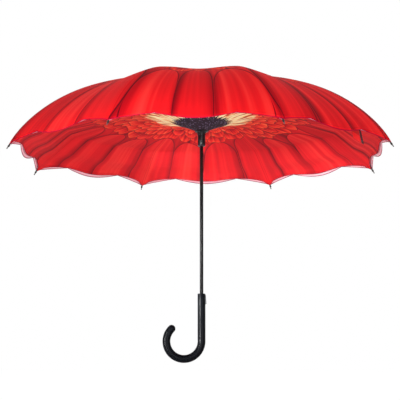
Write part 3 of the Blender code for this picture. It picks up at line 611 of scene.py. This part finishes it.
def pongee(name, start, through, pale, strength):
    """Woven polyester that lets some light through, printed or plain, with its seams, hem and stitches, and
    painted shade in the groove beside each rib seam.
    """
    material, wire = new_material(name)
    colour, radius, turn = flower(wire, start)
    colour = wire.node("Mix", {"data_type": "RGBA"}, {0: strength, 6: pale, 7: colour}, 2)
    hem = wire.node("SeparateXYZ", {}, {0: wire.node("UVMap", {"uv_map": "hem"})})
    run, inward = hem * (1 / UV_SCALE), hem.out("Y") * (1 / UV_SCALE)
    gore = (turn - start - 0.5 / GORES) * GORES
    rib = abs(gore - gore.math("ROUND")) * GORE * radius * CANOPY_RADIUS
    fold = inward.fade(0.0, 0.0024, 1.0, 0.0)
    edging = inward.fade(0.0008 + 0.0002 * strength, 0.0018 + 0.0004 * strength, 1.0, 0.0)
    stitch = abs(inward - 0.0052).fade(0.0002, 0.0006, 1.0, 0.0) * (run * 400).math("FRACT").fade(0.25, 0.45)
    ridge = rib.fade(0.0, 0.0022, 1.0, 0.0)
    # A groove a little off each rib seam, from partway out. Its bump sinks it, and the colour below paints
    # shade into it.
    shaded_gutter = abs(rib - 0.0032).fade(0.0, 0.0012, 1.0, 0.0) * radius.fade(0.15, 0.5)
    colour = (edging * 0.9).mix(colour, EDGING)
    colour = (stitch * 0.45).mix(colour, rgb(110, 10, 22))
    # Painted shade: the groove beside each rib seam is darkened towards a deep red.
    colour = (shaded_gutter * 0.35).mix(colour, rgb(120, 10, 20))
    layer = wire.node("UVMap", {"uv_map": "plan"})
    weave = wire.node("Mapping", {}, {"Vector": layer, "Scale": (1600, 1600, 1600)})
    threads = wire.node("TexWave", {"bands_direction": "X"}, {"Vector": weave, "Scale": 0.3}, "Fac")
    crossing = wire.node("TexWave", {"bands_direction": "Y"}, {"Vector": weave, "Scale": 0.3}, "Fac")
    pull = wire.node("TexNoise", {}, {"Vector": layer, "Scale": 9.0, "Detail": 2.0}, "Fac")
    height = threads * crossing * 0.04 + ridge * 0.6 - shaded_gutter * 0.25 + fold * 0.5 - stitch * 0.3 + pull * 3.0
    bump = wire.node("Bump", {}, {"Strength": 0.55, "Distance": 0.001, "Height": height})
    surface = {"Base Color": colour, "Roughness": threads.fade(0.0, 1.0, 0.55, 0.7), "Normal": bump}
    sheen = {"Sheen Weight": 0.01, "Sheen Roughness": 0.35, "Sheen Tint": rgb(255, 120, 110)}
    face = wire.node("BsdfPrincipled", {}, {**surface, **sheen, "Specular IOR Level": 0.03})
    lit = wire.node("BsdfTranslucent", {}, {"Color": colour, "Normal": bump})
    wire.node("OutputMaterial", {}, {"Surface": wire.node("MixShader", {}, {0: through, 1: face, 2: lit})})
    return material


PALE = rgb(255, 206, 218)
UPPER_TURN = 0.021
upper_print = pongee("upper_print", UPPER_TURN, 0.2, PALE, 1.0)
lower_print = pongee("lower_print", 0.0, 0.25, PALE, 0.98)
upper_back = pongee("upper_back", UPPER_TURN, 0.25, PALE, 0.06)
lower_back = pongee("lower_back", 0.0, 0.25, PALE, 0.06)
hem_thread = moulded("hem_thread", EDGING, 0.8, 0.05)

upper = sew_sheet(
    "canopy_upper", dome_height, UPPER_HOLE, CANOPY_RADIUS, 0.0, "shaft", "stretcher",
    (upper_print, upper_back, hem_thread), "outer_canopy",
)
lower = sew_sheet(
    "canopy_lower", funnel_height, LOWER_HOLE, LOWER_REACH, LOWER_TRIM, "runner", "inner_rib",
    (lower_back, lower_print, hem_thread), "inner_canopy",
)

# Tip caps: turned from black plastic and pushed on the rods' ends, each with a pin that ends in a bead.
# The two sheets' tips are sewn to the pins.
TIP_CAP_DROP, TIP_CAP_SEAT = 0.0042, 0.0004
BEAD_START, BEAD_FULL = 0.0097, 0.0101
CAP_PROFILE = [
    (0, 0.0056), (0.002, 0.0056), (0.002, 0.0), (0.0026, 0.0), (0.0026, 0.0052), (0.0021, 0.0064),
    (0.0011, 0.0078), (0.0011, 0.0094), (0.0015, 0.0102), (0.0016, 0.0112), (0.0014, 0.0122),
    (0.0008, 0.0129), (0, 0.013),
]
start = Vector((CANOPY_RADIUS, 0, TIP_PLANE - TIP_CAP_DROP))
start += rod_end * (-TIP_CAP_DROP * abs(rod_end.z) + TIP_CAP_SEAT)
cap_plastic, wire = new_material("tip_cap_plastic")
place = wire.node("TexCoord").out("Object")
level_place = wire.node("VectorMath", {"operation": "MULTIPLY"}, {0: place, 1: (1, 1, 0)})
out_from_shaft = wire.node("VectorMath", {"operation": "LENGTH"}, {0: level_place}, "Value")
bead = out_from_shaft.fade(start.x + rod_end.x * BEAD_START, start.x + rod_end.x * BEAD_FULL)
cloud = wire.node("TexNoise", {}, {"Vector": place, "Scale": 400.0, "Detail": 3.0}, "Fac")
dark = cloud.mix(rgb(24, 16, 15), rgb(40, 30, 28))
black = {"Base Color": bead.mix(dark, rgb(74, 70, 68)), "Roughness": cloud.fade(0.3, 0.7, 0.32, 0.46)}
shader = wire.node("BsdfPrincipled", {}, {**black, "Specular IOR Level": 0.3})
wire.node("OutputMaterial", {}, {"Surface": shader})
lean = Matrix.Translation(start) @ rod_end.to_track_quat("Z", "Y").to_matrix().to_4x4()
for n in RIBS:
    bm = turned(CAP_PROFILE, 24)
    soften(bm, 0.0002, 50, 2)
    bmesh.ops.transform(bm, matrix=Matrix.Rotation((n - 0.5) * GORE, 4, "Z") @ lean, verts=bm.verts)
    piece(bm, f"rib_end_{n}", cap_plastic, f"outer_rib_{n}", "plastic_black", f"tip_cap_{n}")

# Closing strap: a red tab and a narrow dark strap with a press stud, both cut from woven tape, folded in at
# the edges and sewn by one end to the lower sheet at rib 8. They hang down loose.
LAST_RIB = Matrix.Rotation(7.5 * GORE, 4, "Z")
STRAP_START, STRAP_WIDTH, STRAP_LENGTH, STRAP_THICKNESS = 0.44, 0.006, 0.06, 0.0009
TAB_START, TAB_WIDTH, TAB_LENGTH, TAB_THICKNESS = 0.4171, 0.022, 0.062, 0.0008
TAB_SHADE_LENGTH = 0.042
STRAP_LEAN, STRAP_CURL, STRAP_GAP = 0.2, 0.0012, 0.0005
STUD_DROP, STUD_SEAT = 0.0528, 0.0009


def under_sheet(x):
    """Height of the lower sheet's under face at a rib."""
    return TIP_PLANE + funnel_height(x) - CLOTH


def hang(x, drop, aside):
    """A point of the straps' plane, a drop below the sheet, with the slight curl of loose tape."""
    curl = STRAP_CURL * math.sin(drop * 70 + x * 90) * smooth(drop, 0.004, 0.03)
    return x + drop * STRAP_LEAN, aside + curl, under_sheet(x) - STRAP_GAP - drop


def hung_band(name, x_low, width, length, thickness, finish, slot, replaced):
    """A band of tape on edge under the rib."""
    bm = bmesh.new()
    bmesh.ops.create_grid(bm, x_segments=10, y_segments=40, size=0.5)
    layer = bm.loops.layers.uv.new("band")
    for face in bm.faces:
        for loop in face.loops:
            across, along = loop.vert.co.x + 0.5, 0.5 - loop.vert.co.y
            loop[layer].uv = across * width * UV_SCALE, along * length * UV_SCALE
    for vert in bm.verts:
        vert.co = hang(x_low + (vert.co.x + 0.5) * width, (0.5 - vert.co.y) * length, thickness / 2)
    bmesh.ops.recalc_face_normals(bm, faces=bm.faces)
    if bm.faces[0].normal.y > 0:
        bmesh.ops.reverse_faces(bm, faces=bm.faces)
    bmesh.ops.transform(bm, matrix=LAST_RIB, verts=bm.verts)
    made = piece(bm, name, finish, "outer_rib_8", slot, replaced)
    thick = made.modifiers.new("thickness", "SOLIDIFY")
    thick.thickness, thick.offset = thickness, 1
    return made


def band_cloth(name, colour, width, length, shaded=0.0):
    """Cloth tape with bound and stitched edges, darker with painted shade from its seam down to a given
    length.
    """
    material, wire = new_material(name)
    spot = wire.node("SeparateXYZ", {}, {0: wire.node("UVMap", {"uv_map": "band"})})
    across, along = spot * (1 / UV_SCALE), spot.out("Y") * (1 / UV_SCALE)
    side = (across.math("MINIMUM", width - across)).math("MINIMUM", along.math("MINIMUM", length - along))
    bound = side.fade(0.0006, 0.001, 1.0, 0.0)
    stitch = abs(side - 0.0015).fade(0.0001, 0.0003, 1.0, 0.0)
    stitch = stitch * ((across + along) * 700).math("FRACT").fade(0.3, 0.5)
    rows = ((across + along) * 1400).math("FRACT") * ((across - along) * 1400).math("FRACT")
    darker = tuple(channel * 0.45 for channel in colour[:3]) + (1,)
    height = rows * 0.3 + bound * 0.7 - stitch * 0.5
    bump = wire.node("Bump", {}, {"Strength": 0.5, "Distance": 0.0002, "Height": height})
    # Painted shade: the tape is darkened from its seam, under the sheet, down to the shaded length.
    painted_seam_shade = along.fade(shaded - 0.002, shaded + 0.002, 0.8, 0.0) if shaded else 0.0
    shade = (bound * 0.5 + stitch * 0.6 + rows * 0.15).math("MAXIMUM", painted_seam_shade).mix(colour, darker)
    cloth = {"Base Color": shade, "Roughness": rows.fade(0.0, 1.0, 0.6, 0.75), "Normal": bump}
    shader = wire.node("BsdfPrincipled", {}, {**cloth, "Sheen Weight": 0.2, "Specular IOR Level": 0.3})
    wire.node("OutputMaterial", {}, {"Surface": shader})
    return material


# The red tab gets painted shade over its part nearest the sheet.
patch_cloth = band_cloth("patch_cloth", rgb(206, 6, 12), TAB_WIDTH, TAB_LENGTH, TAB_SHADE_LENGTH)
strap_cloth = band_cloth("strap_cloth", rgb(66, 10, 18), STRAP_WIDTH, STRAP_LENGTH)
patch = hung_band(
    "patch", TAB_START, TAB_WIDTH, TAB_LENGTH, TAB_THICKNESS,
    patch_cloth, "fabric_red", "strap_tab",
)
hung_band(
    "strap", STRAP_START, STRAP_WIDTH, STRAP_LENGTH, STRAP_THICKNESS,
    strap_cloth, "fabric_maroon", "closing_strap",
)

dark_steel = bare_steel("dark_steel", rgb(84, 80, 82), 0.35)
STUD_PROFILE = [
    (0, -0.0002), (0.0024, -0.0002), (0.0024, 0.0003), (0.002, 0.0008), (0.0014, 0.0008), (0.0011, 0.0005),
    (0.0009, 0.0012), (0, 0.0013),
]
bm = turned(STUD_PROFILE, 32)
soften(bm, 0.00012, 25, 2)
seat = Matrix.Translation(Vector(hang(STRAP_START + STRAP_WIDTH / 2, STUD_DROP, -STUD_SEAT)))
bmesh.ops.transform(bm, matrix=LAST_RIB @ seat @ Matrix.Rotation(math.pi / 2, 4, "X"), verts=bm.verts)
piece(bm, "snap_stud", dark_steel, "outer_rib_8", "steel_bright", "strap_snap")

# Runner: a glossy black moulding. Its flared head clamps the inner canopy from below against the slotted hub,
# its sleeve slides on the shaft and a small lighter ring closes its foot.
CLAMP = TIP_PLANE + CLAMP_RISE
RUNNER_SEAT, RUNNER_TOP = CLAMP - 0.0009, CLAMP + 0.0125
RUNNER_FOOT = TIP_PLANE + 0.0306
RUNNER_BORE, SLEEVE_RADIUS, SPIGOT_RADIUS = 0.0051, 0.0105, 0.0085
FLARE_FOOT, FLARE_WIDTH, FLARE_RISE = RUNNER_SEAT - 0.0126, 0.0075, 0.0104
RING_RADIUS, RING_LOW, RING_HIGH = 0.0099, RUNNER_FOOT + 0.0002, RUNNER_FOOT + 0.0032
SLEEVE_FOOT = RUNNER_FOOT + 0.0036
flare = [
    (SLEEVE_RADIUS + FLARE_WIDTH * (1 - math.cos(angle)), FLARE_FOOT + FLARE_RISE * math.sin(angle))
    for angle in (0, 0.3, 0.6, 0.85, 1.05, 1.25)
]
flange = [(0.0172, RUNNER_SEAT - 0.0026), (HUB_RADIUS, RUNNER_SEAT - 0.002), (HUB_RADIUS, RUNNER_SEAT)]
spigot = [(SPIGOT_RADIUS, RUNNER_SEAT), (SPIGOT_RADIUS, RUNNER_TOP), (RUNNER_BORE, RUNNER_TOP)]
bm = turned([(RUNNER_BORE, SLEEVE_FOOT), (SLEEVE_RADIUS, SLEEVE_FOOT), *flare, *flange, *spigot], 72)
soften(bm, 0.0004, 40)
runner_gloss = moulded("runner_gloss", rgb(8, 8, 10), 0.28, 0.14)
piece(bm, "runner_sleeve", runner_gloss, "runner", "plastic_black", "runner")
ring_grey = moulded("ring_grey", rgb(34, 33, 38), 0.35, 0.15)
side = [(RING_RADIUS, RING_LOW), (RING_RADIUS, RING_HIGH)]
bm = turned([(RUNNER_BORE, RING_LOW), *side, (RUNNER_BORE, RING_HIGH)])
soften(bm, 0.0005)
piece(bm, "foot_ring", ring_grey, "runner", "plastic_grey", "runner_ring")

# Handle: a crook of black plastic with a satin soft-touch skin, moulded in two halves and bored for the
# shaft. The bushing sits in the step at its top, and its free end is round.
GRIP_RADIUS = 0.0105
HANDLE_TOP = 0.06325
CROOK_RADIUS = 0.047
CROOK_SWEEP = math.radians(225)
GRIP_STEPS, CROOK_STEPS, END_STEPS = 8, 60, 9
MOUTH_SHARE = 0.92
BORE_STEPS = (0.80, 0.0), (0.76, -0.0029), (0.49, -0.0029), (0.49, -0.045)
TOP_ROUNDING = 0.0005
satin, wire = new_material("handle_satin")
place = wire.node("TexCoord").out("Object")
cloud = wire.node("TexNoise", {}, {"Vector": place, "Scale": 22.0, "Detail": 4.0}, "Fac")
grain = wire.node("TexNoise", {}, {"Vector": place, "Scale": 3000.0, "Detail": 2.0}, "Fac")
drawn = wire.node("Mapping", {}, {"Vector": place, "Scale": (1, 1, 0.2)})
scuff = wire.node("TexNoise", {}, {"Vector": drawn, "Scale": 260.0, "Detail": 5.0}, "Fac")
spot = wire.node("SeparateXYZ", {}, {0: place})
parting = abs(spot.out("Y")).fade(0.0, 0.00022, 1.0, 0.0)
rubbed = scuff.fade(0.62, 0.78)
height = grain * 0.4 + parting * 0.8 + rubbed * 0.3
bump = wire.node("Bump", {}, {"Strength": 0.15, "Distance": 0.00004, "Height": height})
black = rubbed.mix(cloud.mix(rgb(3, 4, 7), rgb(6, 7, 10)), rgb(14, 15, 19))
skin = {"Base Color": black, "Roughness": cloud.fade(0.3, 0.7, 0.28, 0.38)}
shader = wire.node("BsdfPrincipled", {}, {**skin, "Specular IOR Level": 0.04, "Normal": bump})
wire.node("OutputMaterial", {}, {"Surface": shader})

bm = bmesh.new()
ring = bmesh.ops.create_circle(bm, segments=64, radius=GRIP_RADIUS)["verts"]
bmesh.ops.translate(bm, verts=ring, vec=(0, 0, HANDLE_TOP))
rim = list(bm.edges)


def extend(edges, move):
    """Draws a ring of edges out to a new ring, and gives the new ring's edges."""
    made = bmesh.ops.extrude_edge_only(bm, edges=edges)["geom"]
    move([v for v in made if isinstance(v, bmesh.types.BMVert)])
    return [e for e in made if isinstance(e, bmesh.types.BMEdge) and e.is_boundary]


edges = rim
step = (0, 0, -2 * HANDLE_TOP / GRIP_STEPS)
for _ in range(GRIP_STEPS):
    edges = extend(edges, lambda verts: bmesh.ops.translate(bm, verts=verts, vec=step))
centre = Vector((-CROOK_RADIUS, 0, -HANDLE_TOP))
turn = Matrix.Rotation(CROOK_SWEEP / CROOK_STEPS, 3, "Y")
for _ in range(CROOK_STEPS):
    edges = extend(edges, lambda verts: bmesh.ops.rotate(bm, verts=verts, cent=centre, matrix=turn))
end = centre + Vector((math.cos(CROOK_SWEEP), 0, -math.sin(CROOK_SWEEP))) * CROOK_RADIUS
ahead = Vector((-math.sin(CROOK_SWEEP), 0, -math.cos(CROOK_SWEEP)))
for i in range(1, END_STEPS):
    before, now = (math.pi / 2 * i / END_STEPS for i in (i - 1, i))
    shift = ahead * GRIP_RADIUS * (math.sin(now) - math.sin(before))
    at = end + ahead * GRIP_RADIUS * math.sin(now)
    shrink = math.cos(now) / math.cos(before)

    def round_off(verts):
        bmesh.ops.translate(bm, verts=verts, vec=shift)
        for vert in verts:
            vert.co = at + (vert.co - at) * shrink

    edges = extend(edges, round_off)
bmesh.ops.holes_fill(bm, edges=edges, sides=0)
mouth = (MOUTH_SHARE, MOUTH_SHARE, 1)
edges = extend(rim, lambda verts: bmesh.ops.scale(bm, verts=verts, vec=mouth))
for share, depth in BORE_STEPS:

    def bore(verts):
        for vert in verts:
            out = Vector((vert.co.x, vert.co.y, 0)).normalized() * GRIP_RADIUS * share
            vert.co = (out.x, out.y, HANDLE_TOP + depth)

    edges = extend(edges, bore)
bmesh.ops.holes_fill(bm, edges=edges, sides=0)
bmesh.ops.recalc_face_normals(bm, faces=bm.faces)


def at_top(vert):
    """Whether a corner is on the outer edge of the grip's top."""
    return abs(vert.co.z - HANDLE_TOP) < 1e-6 and abs(vert.co.xy.length - GRIP_RADIUS) < 1e-5


top_edges = [e for e in bm.edges if all(at_top(vert) for vert in e.verts)]
bmesh.ops.bevel(bm, geom=top_edges, offset=TOP_ROUNDING, affect="EDGES", segments=3, profile=0.5, material=-1)
piece(bm, "crook", satin, "shaft", "plastic_black", "handle")

# Button: a slim grey-black moulded key that stands in the handle's side and slides into it. It is thicker at
# its foot, with shallow ridges for the thumb.
BUTTON_TOP, BUTTON_LENGTH, BUTTON_WIDTH = HANDLE_TOP - 0.0038, 0.024, 0.009
BUTTON_BACK = 0.0075
BUTTON_FRONT, BUTTON_FOOT_FRONT = GRIP_RADIUS + 0.0012, GRIP_RADIUS + 0.0025
RIDGES_PLACE = BUTTON_TOP - BUTTON_LENGTH * 0.62
bm = bmesh.new()
bmesh.ops.create_cube(bm, size=1)
for vert in bm.verts:
    foot = vert.co.z < 0
    front = BUTTON_FOOT_FRONT if foot else BUTTON_FRONT
    x = BUTTON_BACK if vert.co.x < 0 else front
    vert.co = (x, BUTTON_WIDTH * vert.co.y, BUTTON_TOP - (BUTTON_LENGTH if foot else 0))
soften(bm, 0.0007, 30, 3)
button_plastic, wire = new_material("button_plastic")
place = wire.node("TexCoord").out("Object")
height = wire.node("SeparateXYZ", {}, {0: place}).out("Z")
ridges = (height * 620).math("SINE").fade(-0.2, 0.8) * abs(height - RIDGES_PLACE).fade(0.005, 0.006, 1.0, 0.0)
cloud = wire.node("TexNoise", {}, {"Vector": place, "Scale": 300.0, "Detail": 3.0}, "Fac")
bump = wire.node("Bump", {}, {"Strength": 0.6, "Distance": 0.0002, "Height": ridges + cloud * 0.1})
black = cloud.mix(rgb(30, 31, 34), rgb(44, 45, 49))
gloss = cloud.fade(0.3, 0.7, 0.38, 0.5)
shader = wire.node("BsdfPrincipled", {}, {"Base Color": black, "Roughness": gloss, "Normal": bump})
wire.node("OutputMaterial", {}, {"Surface": shader})
piece(bm, "button_key", button_plastic, "button", "plastic_grey", "release_button")
